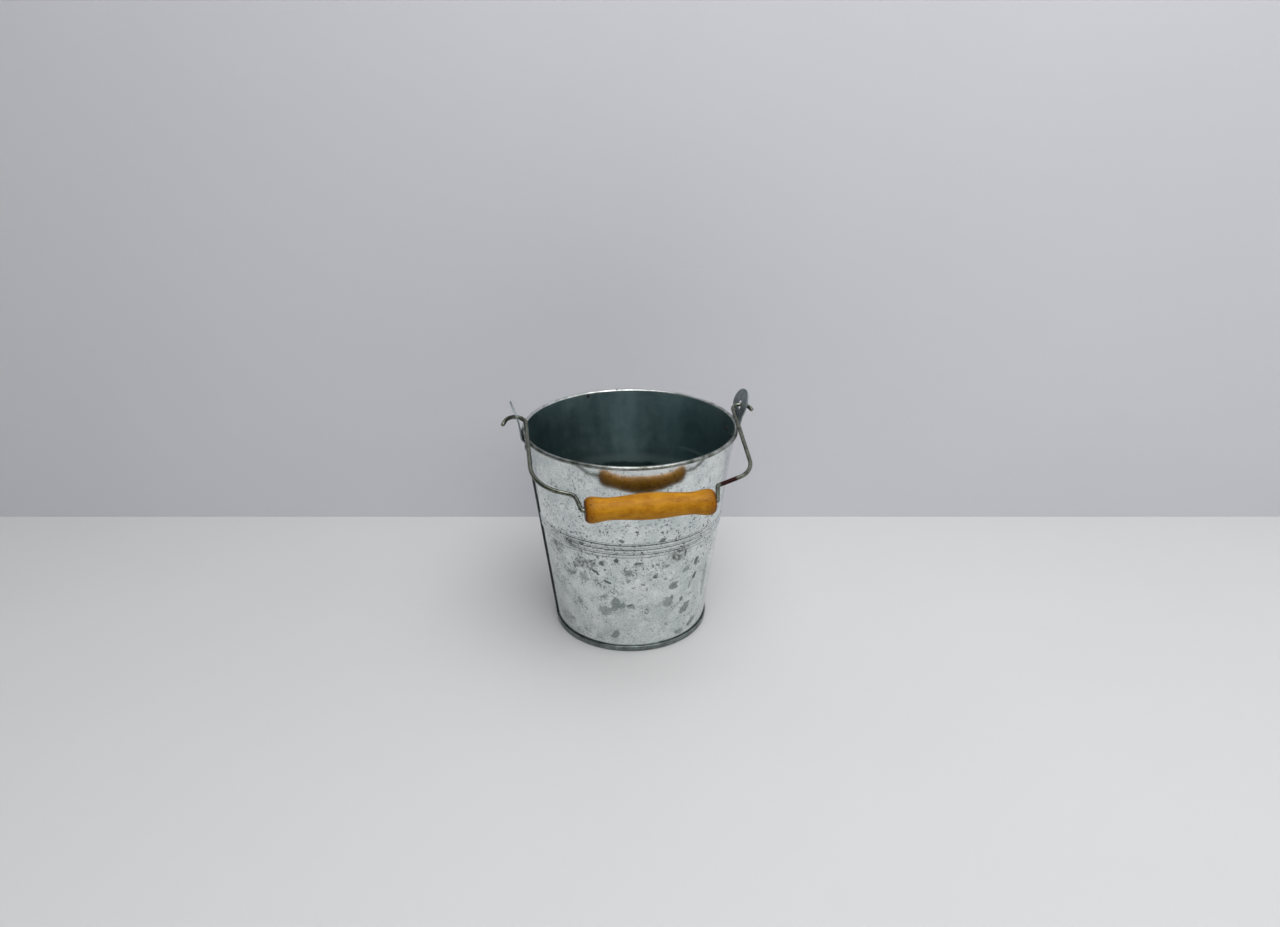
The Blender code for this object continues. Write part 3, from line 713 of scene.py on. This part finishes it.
def makeSeam():
    half, rise, turn = seam["width"] / 2, seam["rise"], seam["round"]
    section = [(-half, -seam["sunk"]), (-half, rise - turn)]
    section += arc((-half + turn, rise - turn), turn, math.pi, math.pi / 2, 4)[1:]
    section += [(-half / 2, rise), (0, rise), (half / 2, rise)]
    section += arc((half - turn, rise - turn), turn, math.pi / 2, 0, 4)
    section += [(half, -seam["sunk"])]
    foot = wallRadius(seam["bottom"])
    points = [(-math.sqrt((foot + h) ** 2 - y * y), y, seam["bottom"]) for y, h in section]
    piece = startPoint("lockSeam", points[0])
    drawLine(points + points[:1])
    bpy.ops.mesh.remove_doubles(threshold=weld)
    bpy.ops.mesh.edge_face_add()
    length = (seam["top"] - seam["bottom"]) / seam["lengths"]
    step = (-length * math.tan(slope), 0, length)
    for i in range(seam["lengths"]):
        bpy.ops.mesh.extrude_region_move(TRANSFORM_OT_translate={"value": step})
    closeMesh()
    # At the beads the sheet stands out, so the strip's foot is lifted to stay inside it
    low = wall["beadTop"] - len(wall["beadRises"]) * wall["beadPitch"] - length
    high = wall["beadTop"] + wall["beadPitch"] + length
    for vertex in piece.data.vertices:
        height, radius = vertex.co.z, math.hypot(vertex.co.x, vertex.co.y)
        if low < height < high and radius < wallRadius(height):
            lift = (wallRadius(height) + seam["lift"]) / radius
            vertex.co.x *= lift
            vertex.co.y *= lift
    bpy.ops.object.shade_smooth_by_angle(angle=math.radians(50))
    dress(piece, "bucket", "galvanised_sheet", [galvanisedSteel, grimeAndShade])
    # Painted shade: the seam's flanks, along the step, get the near-black material
    for face in piece.data.polygons:
        face.material_index = 1 if abs(face.normal.y) > 0.9 else 0


makeSeam()
print("seam made")


# Drip of dross left on the inside of the rim, at the back

drip = {
    "turn": 107.6,               # degrees round the bucket
    "height": 128.4 * mm,
    "radius": 1.25 * mm,
    "tail": 0.5 * mm,            # how far the drop is drawn down
    "taper": (0.8, 0.8, 1.25),   # its lower part, against the ball that it starts from
    "spread": (0.9, 1.1, 1),     # flatter against the wall, and wider
}


def makeDrip():
    deselectAll()
    bpy.ops.mesh.primitive_uv_sphere_add(segments=24, ring_count=16, radius=drip["radius"])
    piece = bpy.context.object
    piece.name = "rimDrip"
    for vertex in piece.data.vertices:
        vertex.select = vertex.co.z < -0.1 * drip["radius"]
    bpy.ops.object.mode_set(mode="EDIT")
    bpy.ops.mesh.select_mode(type="VERT")
    bpy.ops.transform.resize(value=drip["taper"], center_override=(0, 0, 0))
    bpy.ops.transform.translate(value=(0, 0, -drip["tail"]))
    bpy.ops.object.mode_set(mode="OBJECT")
    bpy.ops.object.shade_smooth()
    inner = wallRadius(drip["height"]) - wall["sheet"]
    turn = Matrix.Rotation(math.radians(drip["turn"]), 4, "Z")
    spread = Matrix.Diagonal((*drip["spread"], 1))
    settle(piece, turn @ Matrix.Translation((inner, 0, drip["height"])) @ spread)
    dress(piece, "bucket", "galvanised_sheet", [grimeAndShade])


makeDrip()
print("drip made")


# Base pan: flat bottom with a collar that grips the foot of the wall

base = {
    "thick": 0.4 * mm,
    "collar": 3.5 * mm,          # height of the collar
    "proud": 1.2 * mm,           # collar outside the wall
    "gap": 0.3 * mm,             # collar to wall
    "round": 0.5 * mm,
    "rings": (0.5, 0.92),        # rings of points across the bottom, as shares of its radius
    "turnSteps": 160,
    "dark": "#5D6564",
    "light": "#8E9695",
}


def darkZincMaterial():
    # Weathered zinc of the base and rivets: darker grey with blackened patches
    material, add, shader, place = newMaterial("weatheredZinc")
    cloud = add("TexNoise", {"Vector": place, "Scale": 1 / 5, "Detail": 4.0, "Roughness": 0.65})
    cloudy = add("MapRange", {"Value": cloud, "From": (0.32, 0.68)})
    colour = add("Mix", {"Factor": cloudy, "A": toLinear(base["dark"]), "B": toLinear(base["light"])},
                 **rgba)
    rough = add("MapRange", {"Value": cloud, "To": (0.5, 0.26)})
    bump = add("Bump", {"Strength": 0.2, "Distance": 0.3 * mm, "Height": cloud})
    setInputs(shader, {"Base Color": colour, "Metallic": 1.0, "Roughness": rough, "Normal": bump})
    return material


weatheredZinc = darkZincMaterial()


def makeBase():
    proud, turn, top = base["proud"], base["round"], base["collar"]
    outFoot = wallRadius(0) + proud
    outTop = wallRadius(top) + proud
    near, far = [outFoot * share for share in base["rings"]]
    profile = [(0, 0), (near, 0), (outFoot - turn, 0)]
    profile += arc((outFoot - turn, turn), turn, -math.pi / 2, 0, 6)
    profile += arc((outTop - turn, top - turn), turn, 0, math.pi * 0.6, 6)
    profile += [(wallRadius(top) + base["gap"], top - 0.1 * mm)]
    profile += [(wallRadius(base["thick"]) + base["gap"], base["thick"])]
    profile += [(r, base["thick"]) for r in (far, near, 0)]
    piece = turnedPiece("basePan", profile, base["turnSteps"], closed=False)
    dress(piece, "bucket", "dark_zinc_sheet", [weatheredZinc, insideZinc], "base_pan")
    for face in piece.data.polygons:
        inPail = face.normal.z > 0.9 and face.center.z < 2 * base["thick"]
        face.material_index = 1 if inPail else 0


makeBase()
print("base made")


# Ears: stamped plates riveted to the wall, with the hole for the bail

ear = {
    "sheet": 0.8 * mm,
    "gap": 0.3 * mm,              # leg to wall, plate to curl
    "discRadius": 9.5 * mm,
    "legWidth": 17.0 * mm,
    "corner": 4.0 * mm,
    "jog": (123.6 * mm, 127.6 * mm),   # heights where the leg turns into the flat plate
    "bend": 4.0 * mm,
    "lowerLean": math.radians(9),
    "upperLean": math.radians(20),
    "twist": {-1: math.radians(4.5), 1: math.radians(6.5)},    # the plates are knocked round a little
    "holeRadius": 2.75 * mm,
    "pitch": 1.2 * mm,            # spacing of the cuts that let the plate bend
    "edge": 0.16 * mm,
    "dark": "#7B8486",
    "light": "#979FA0",
    "pit": "#4C5354",
}


def earFlatness(z):
    low, high = ear["jog"]
    return ease((z - low) / (high - low))


def earReach(z):
    half = ear["sheet"] / 2
    leg = wallRadius(z) + (ear["gap"] + half) / math.cos(slope)
    offCurl = (wall["curlRadius"] + ear["gap"] + half) / math.cos(ear["lowerLean"])
    plate = curlCentre.x + offCurl + (z - curlCentre.y) * math.tan(ear["lowerLean"])
    above, bend = z - hingeHeight, ear["bend"]
    if above > -bend:
        kink = math.tan(ear["upperLean"]) - math.tan(ear["lowerLean"])
        plate += kink * (above if above > bend else (above + bend) ** 2 / (4 * bend))
    return leg + (plate - leg) * earFlatness(z)


def earSurface(side, y, z):
    reach = earReach(z)
    hug = reach - math.sqrt(reach * reach - y * y)
    twist = ear["twist"][side] * ease((z - ear["jog"][1]) / (hingeHeight - ear["jog"][1]))
    return Vector((side * (reach - hug * (1 - earFlatness(z))) - y * math.tan(twist), y, z))


def earOutline():
    half, corner, disc = ear["legWidth"] / 2, ear["corner"], ear["discRadius"]
    lower = earFoot + corner
    below = math.asin(math.sqrt(disc * disc - half * half) / disc)
    points = arc((-half + corner, lower), corner, -math.pi, -math.pi / 2, 8)
    points += arc((half - corner, lower), corner, -math.pi / 2, 0, 8)
    return points + arc((0, hingeHeight), disc, -below, math.pi + below, 48)


def earMaterial():
    # Stamped ear plate: zinc gone flat grey, with small dark pits
    material, add, shader, place = newMaterial("dullZincPlate")
    cloud = add("TexNoise", {"Vector": place, "Scale": 1 / 4, "Detail": 4.0, "Roughness": 0.6})
    cloudy = add("MapRange", {"Value": cloud, "From": (0.32, 0.68)})
    colour = add("Mix", {"Factor": cloudy, "A": toLinear(ear["dark"]), "B": toLinear(ear["light"])}, **rgba)
    pits = add("TexNoise", {"Vector": place, "Scale": 1 / 0.9, "Detail": 2.0})
    pitMask = add("MapRange", {"Value": pits, "From": (0.62, 0.7), "To Max": 0.6})
    colour = add("Mix", {"Factor": pitMask, "A": colour, "B": toLinear(ear["pit"])}, **rgba)
    rough = add("MapRange", {"Value": cloud, "To": (0.55, 0.4)})
    bump = add("Bump", {"Strength": 0.15, "Distance": 0.2 * mm, "Height": pits})
    setInputs(shader, {"Base Color": colour, "Metallic": 1.0, "Roughness": rough, "Normal": bump})
    return material


dullPlate = earMaterial()


def makeEar(name, side, node):
    hole = arc((0, hingeHeight), ear["holeRadius"], 0, 2 * math.pi, 32)[:-1]
    outlines = [[(y, z, 0) for y, z in outline] for outline in (earOutline(), hole)]
    piece = curvePiece(name, outlines, True, dimensions="2D", fill_mode="BOTH")
    bpy.ops.mesh.select_all(action="SELECT")
    bpy.ops.mesh.remove_doubles(threshold=weld)
    bpy.ops.mesh.dissolve_limited(angle_limit=0.01)
    half, top = ear["discRadius"], hingeHeight + ear["discRadius"]
    rows = [earFoot + ear["pitch"] * i for i in range(1, int((top - earFoot) / ear["pitch"]) + 1)]
    columns = [-half + ear["pitch"] * i for i in range(1, int(2 * half / ear["pitch"]) + 1)]
    cuts = [((0, z, 0), (0, 1, 0)) for z in rows] + [((y, 0, 0), (1, 0, 0)) for y in columns]
    for place, normal in cuts:
        bpy.ops.mesh.select_all(action="SELECT")
        bpy.ops.mesh.bisect(plane_co=place, plane_no=normal)
    bpy.ops.object.mode_set(mode="OBJECT")
    for vertex in piece.data.vertices:
        vertex.co = earSurface(side, vertex.co.x, vertex.co.y)
    plate = piece.modifiers.new("plate", "SOLIDIFY")
    plate.thickness = ear["sheet"]
    plate.offset = 0
    bevelEdges(piece, ear["edge"], 50)
    applyModifiers(piece)
    bpy.ops.object.shade_smooth_by_angle(angle=math.radians(35))
    dress(piece, "bucket", "galvanised_sheet", [dullPlate], node)


makeEar("earLeft", -1, "ear_left")
makeEar("earRight", 1, "ear_right")
print("ears made")


# Rivets, two to an ear, with a domed head outside and a flat tail inside

rivet = {
    "shank": 1.2 * mm,
    "headRadius": 2.4 * mm,
    "headRise": 1.0 * mm,
    "tailRadius": 1.7 * mm,
    "tailRise": 0.5 * mm,
    "spacing": 11.0 * mm,
    "drop": 9.0 * mm,            # below the rim
    "domeSteps": 8,
    "turnSteps": 32,
}


def makeRivet(name, side, end, node):
    head, tail = ear["gap"] + ear["sheet"], -wall["sheet"]
    steps, rounding = rivet["domeSteps"], rivet["tailRise"] / 2
    tailEnd = tail - rivet["tailRise"]
    profile = [(0, head + rivet["headRise"])]
    for a in [math.pi / 2 * i / steps for i in range(1, steps + 1)]:
        profile.append((rivet["headRadius"] * math.sin(a), head + rivet["headRise"] * math.cos(a)))
    profile += [(rivet["shank"], head), (rivet["shank"], tail), (rivet["tailRadius"], tail)]
    profile += arc((rivet["tailRadius"] - rounding, tailEnd + rounding), rounding, 0, -math.pi / 2, 4)
    profile += [(0, tailEnd)]
    piece = turnedPiece(name, profile, rivet["turnSteps"], closed=False)
    height = rimHeight - rivet["drop"]
    turn = side * end * rivet["spacing"] / 2 / wallRadius(height) + (math.pi if side < 0 else 0)
    out = Matrix.Rotation(turn, 4, "Z") @ Matrix.Translation((wallRadius(height), 0, height))
    settle(piece, out @ Matrix.Rotation(math.pi / 2 + slope, 4, "Y"))
    dress(piece, "bucket", "dark_zinc_sheet", [weatheredZinc, grimeAndShade], node)
    for face in piece.data.polygons:
        inPail = math.hypot(face.center.x, face.center.y) < wallRadius(face.center.z)
        face.material_index = 1 if inPail else 0


for earName, side in (("left", -1), ("right", 1)):
    for endName, end in (("front", -1), ("rear", 1)):
        makeRivet("rivet" + earName.title() + endName.title(), side, end, f"ear_rivet_{earName}_{endName}")
print("rivets made")


# Bail: one bent wire, hooked through the ears and cranked out to the grip

bail = {
    "radius": 1.25 * mm,
    "runOut": 37.41 * mm,         # half of the straight run under the grip
    "crank": (39.81 * mm, 66.9 * mm),       # out, reach
    "shoulder": (62.47 * mm, 58.0 * mm),
    "hookOut": {-1: 72.97 * mm, 1: 71.27 * mm},
    "tip": {-1: (75.93 * mm, 6.34 * mm), 1: (73.81 * mm, 5.44 * mm)},
    # Radii from the grip outwards; the left-hand bends came out rounder
    "bends": {-1: (1.8 * mm, 7.0 * mm, 23.0 * mm, 6.4 * mm, 5.5 * mm),
              1: (1.8 * mm, 1.8 * mm, 14.0 * mm, 4.0 * mm, 5.5 * mm)},
    "bendSteps": 12,
    "cutEdge": 0.2 * mm,
    "dark": "#50544A",
    "light": "#878B7F",
    "rust": "#270C0B",
}


def wireMaterial():
    # Drawn steel wire, zinc dulled by handling, with a matt rusty stretch on the right-hand run
    material, add, shader, place = newMaterial("drawnSteelWire")
    axes = add("SeparateXYZ", {"Vector": place})
    cloud = add("TexNoise", {"Vector": place, "Scale": 1 / 3, "Detail": 4.0, "Roughness": 0.6})
    cloudy = add("MapRange", {"Value": cloud, "From": (0.3, 0.7)})
    colour = add("Mix", {"Factor": cloudy, "A": toLinear(bail["dark"]), "B": toLinear(bail["light"])},
                 **rgba)
    edge = add("Math", {0: cloud, 1: 5.0, 2: (axes, "X")}, "MULTIPLY_ADD")
    left = add("MapRange", {"Value": edge, "From": (43.0, 44.5)})
    rust = add("MapRange", {"Value": edge, "From": (53.5, 56.0), "To": (left, 0.0)})
    colour = add("Mix", {"Factor": rust, "A": colour, "B": toLinear(bail["rust"])}, **rgba)
    metal = add("Math", {0: 1.0, 1: rust}, "SUBTRACT")
    rough = add("Math", {0: rust, 1: 0.4, 2: 0.22}, "MULTIPLY_ADD")
    bump = add("Bump", {"Strength": 0.15, "Distance": 0.2 * mm, "Height": cloud})
    setInputs(shader, {"Base Color": colour, "Metallic": metal, "Specular IOR Level": 0.12,
                       "Roughness": rough, "Normal": bump})
    return material


steelWire = wireMaterial()


def roundCorners(corners, radii, steps):
    points = [corners[0]]
    for before, corner, after, radius in zip(corners, corners[1:], corners[2:], radii):
        back, ahead = (before - corner).normalized(), (after - corner).normalized()
        half = back.angle(ahead) / 2
        centre = corner + (back + ahead).normalized() * (radius / math.sin(half))
        start, end = corner + back * radius / math.tan(half), corner + ahead * radius / math.tan(half)
        first = math.atan2(start.y - centre.y, start.x - centre.x)
        last = math.atan2(end.y - centre.y, end.x - centre.x)
        sweep = (last - first + math.pi) % (2 * math.pi) - math.pi
        points += [Vector(p) for p in arc(centre, radius, first, first + sweep, steps)]
    return points + [corners[-1]]


def bailHalf(side):
    corners = [(0, bailReach), (bail["runOut"], bailReach), bail["crank"], bail["shoulder"],
               (bail["shoulder"][0], 0), (bail["hookOut"][side], 0), bail["tip"][side]]
    path = roundCorners([Vector(c) for c in corners], bail["bends"][side], bail["bendSteps"])
    down = Vector((0, -math.cos(bailDroop), -math.sin(bailDroop)))
    return [Vector((side * x, 0, hingeHeight)) + down * reach for x, reach in path]


def makeBail():
    path = bailHalf(-1)[::-1] + bailHalf(1)[1:]
    piece = curvePiece("bailWire", [path], False, dimensions="3D", bevel_depth=bail["radius"],
                       bevel_resolution=6, use_fill_caps=True)
    closeMesh()
    bevelEdges(piece, bail["cutEdge"], 60)
    applyModifiers(piece)
    bpy.ops.object.shade_smooth_by_angle(angle=math.radians(45))
    dress(piece, "bail", "steel_wire", [steelWire], "bail_wire")


makeBail()
rimWire = frame["nodes"]["rim_wire"]          # hidden inside the curl, so its CAD shape is enough
rimWire.data.materials.clear()
rimWire.data.materials.append(steelWire)
print("bail made")


# Wooden grip, turned with a full middle, two waists and rounded ends

grip = {
    "middleRadius": 7.45 * mm,
    "waistRadius": 6.2 * mm,
    "endRadius": 7.3 * mm,
    "bulb": 3.4 * mm,             # length of the rounded end
    "waist": 13.0 * mm,           # from the end
    "bore": 1.55 * mm,
    "chamfer": 0.3 * mm,          # at the ends of the bore
    "endRounding": 0.4,           # 1 would draw the ends in to the axis
    "steps": 60,
    "turnSteps": 96,
    "dark": "#985F06",
    "light": "#C98F20",
    "inner": "#634104",           # painted shade on the side that hangs against the zinc
    "end": "#7A4706",
    "charred": "#3A1D04",
    "pit": "#452404",
}


def woodMaterial():
    # Turned beech under honey varnish: satin orange-brown, fine lengthwise grain and pores, browner ends
    material, add, shader, place = newMaterial("varnishedBeech")
    axes = add("SeparateXYZ", {"Vector": place})
    along = add("Mapping", {"Vector": place, "Scale": (0.06, 1.0, 1.0)})     # grain runs along X
    pore = add("Mapping", {"Vector": place, "Scale": (0.6, 1.0, 1.0)})
    grain = add("TexNoise", {"Vector": along, "Scale": 1 / 0.9, "Detail": 5.0, "Roughness": 0.6})
    mottle = add("TexNoise", {"Vector": pore, "Scale": 1 / 4.5, "Detail": 4.0, "Roughness": 0.6})
    figure = add("Math", {0: mottle, 1: 3.5, 2: grain}, "MULTIPLY_ADD")
    figured = add("MapRange", {"Value": figure, "From": (1.4, 3.2)})
    colour = add("Mix", {"Factor": figured, "A": toLinear(grip["dark"]), "B": toLinear(grip["light"])},
                 **rgba)
    # Painted shade: the side that hangs against the zinc is browner and darker
    inner = add("MapRange", {"Value": (axes, "Y"), "From": (-74.5, -69.0), "To Max": 0.6}, **smooth)
    endward = add("Math", {0: (axes, "X")}, "ABSOLUTE")
    ragged = add("Math", {0: mottle, 1: 6.0, 2: endward}, "MULTIPLY_ADD")
    ends = add("MapRange", {"Value": ragged, "From": (30.5, 38.0), "To Max": 0.7}, **smooth)
    charred = add("MapRange", {"Value": ragged, "From": (37.4, 38.6), "To Max": 0.85})
    pits = add("TexNoise", {"Vector": place, "Scale": 1 / 1.2, "Detail": 2.0, "Roughness": 0.6})
    crowd = add("MapRange", {"Value": endward, "From": (20.0, 33.0), "To": (0.7, 0.57)})
    pitMask = add("MapRange", {"Value": pits, "From": (crowd, 0.72), "To Max": 0.9})
    for mask, name in ((inner, "inner"), (ends, "end"), (charred, "charred"), (pitMask, "pit")):
        colour = add("Mix", {"Factor": mask, "A": colour, "B": toLinear(grip[name])}, **rgba)
    rough = add("MapRange", {"Value": grain, "To": (0.42, 0.56)})
    bump = add("Bump", {"Strength": 0.15, "Distance": 0.2 * mm, "Height": grain})
    setInputs(shader, {"Base Color": colour, "Roughness": rough, "Specular IOR Level": 0.08,
                       "Coat Weight": 0.1, "Coat Roughness": 0.28, "Normal": bump})
    return material


def gripRadius(fromEnd):
    if fromEnd < grip["bulb"]:
        return grip["endRadius"] * math.sqrt(1 - grip["endRounding"] * (1 - fromEnd / grip["bulb"]) ** 2)
    if fromEnd < grip["waist"]:
        t = ease((fromEnd - grip["bulb"]) / (grip["waist"] - grip["bulb"]))
        return grip["endRadius"] + (grip["waistRadius"] - grip["endRadius"]) * t
    t = ease((fromEnd - grip["waist"]) / (gripLength / 2 - grip["waist"]))
    return grip["waistRadius"] + (grip["middleRadius"] - grip["waistRadius"]) * t


def makeGrip():
    half, bore, chamfer = gripLength / 2, grip["bore"], grip["chamfer"]
    profile = [(bore, -half + chamfer), (bore + chamfer, -half)]
    for i in range(grip["steps"] + 1):
        z = -half * math.cos(math.pi * i / grip["steps"])
        profile.append((gripRadius(half - abs(z)), z))
    profile += [(bore + chamfer, half), (bore, half - chamfer)]
    piece = turnedPiece("woodGrip", profile, grip["turnSteps"])
    settle(piece, Matrix.Translation(gripCentre) @ Matrix.Rotation(math.pi / 2, 4, "Y"))
    dress(piece, "grip", "varnished_wood", [woodMaterial()], "grip")


makeGrip()
print("grip made")
